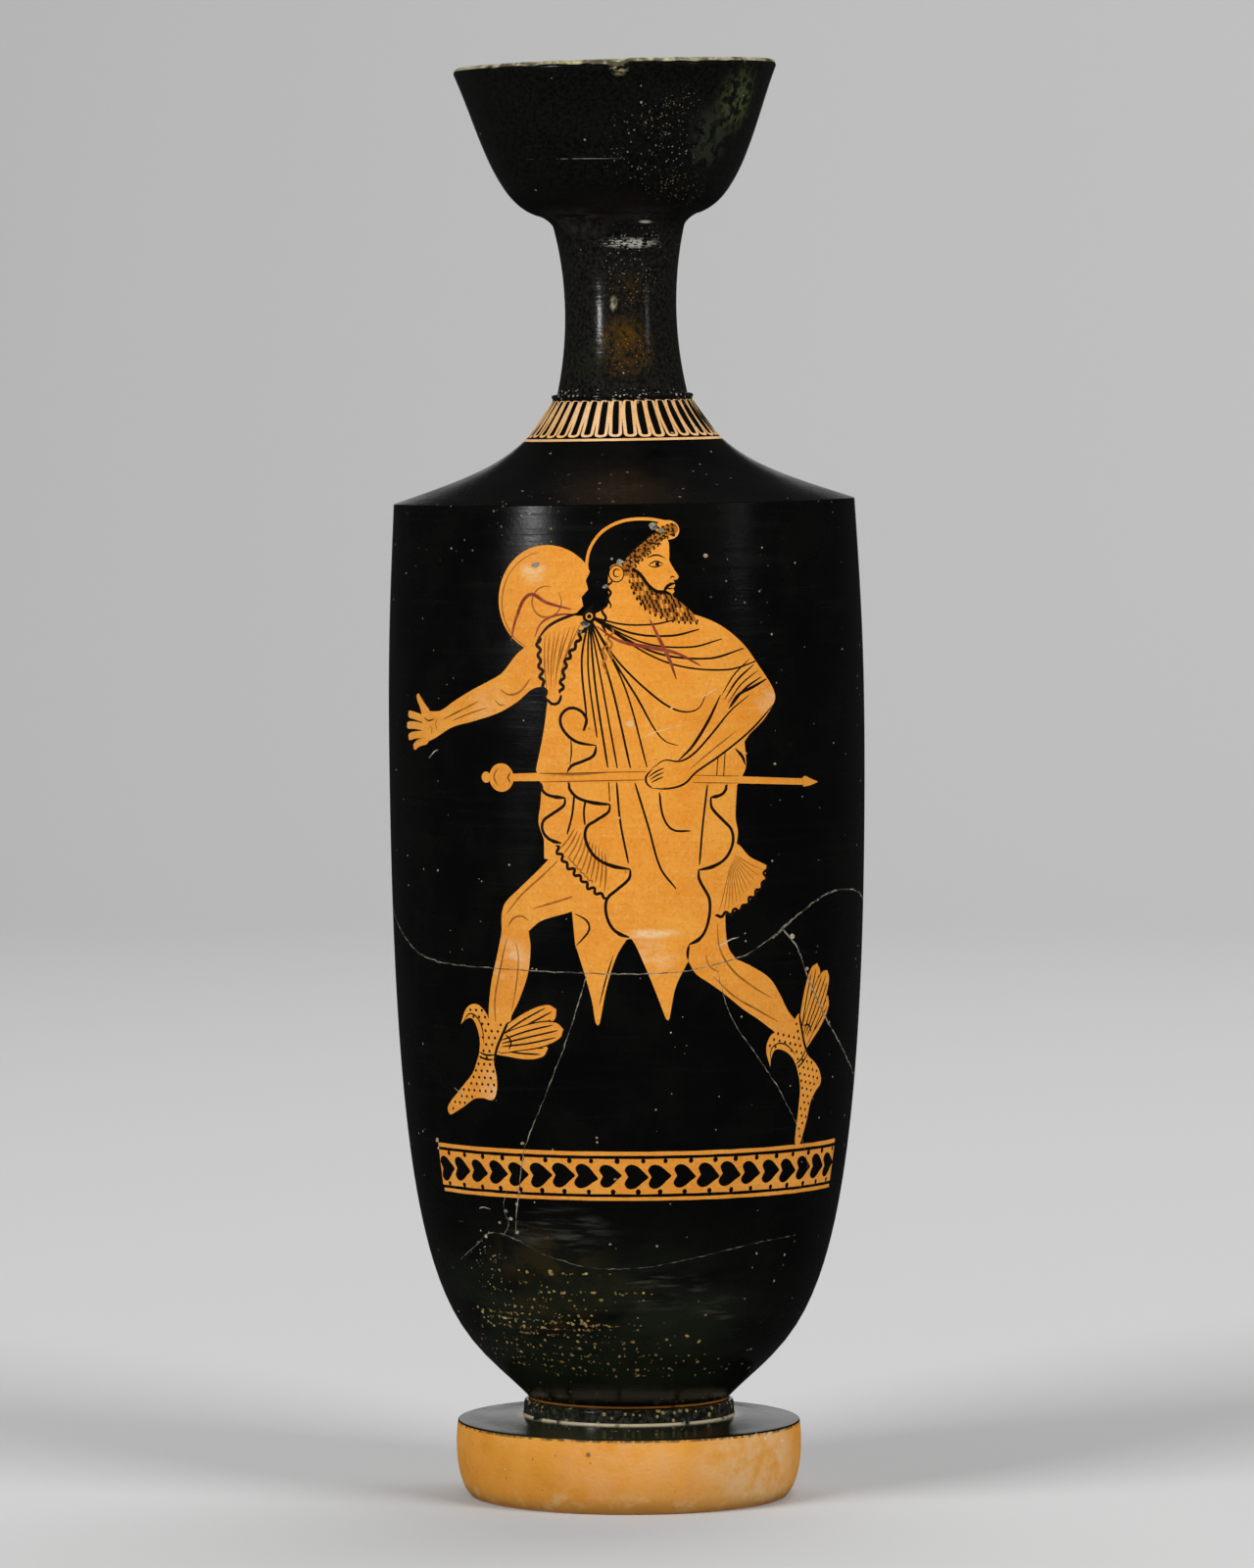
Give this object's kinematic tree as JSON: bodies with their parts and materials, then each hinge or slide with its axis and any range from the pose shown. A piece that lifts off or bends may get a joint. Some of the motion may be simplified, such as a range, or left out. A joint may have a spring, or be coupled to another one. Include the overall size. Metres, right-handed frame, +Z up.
{
  "type": "red-figure oil flask",
  "caption": "Tall terracotta oil flask with a cup mouth, narrow neck, cylinder body, disc foot and strap handle, black gloss with a reserved painted figure.",
  "frame": {"origin": "middle of the standing ring, on the ground plane under the foot", "axes": "+Z up along the flask, -Y towards the picture side, +Y towards the handle, +X to the viewer's right when facing the picture"},
  "size_m": [0.112, 0.112, 0.3381],
  "materials": {
    "black_gloss_terracotta": "thin glossy black slip over orange fired clay, with the figure, bands and foot side left in the clay's colour"
  },
  "bodies": {
    "root": {"flask": "black_gloss_terracotta"}
  },
  "joints": []
}
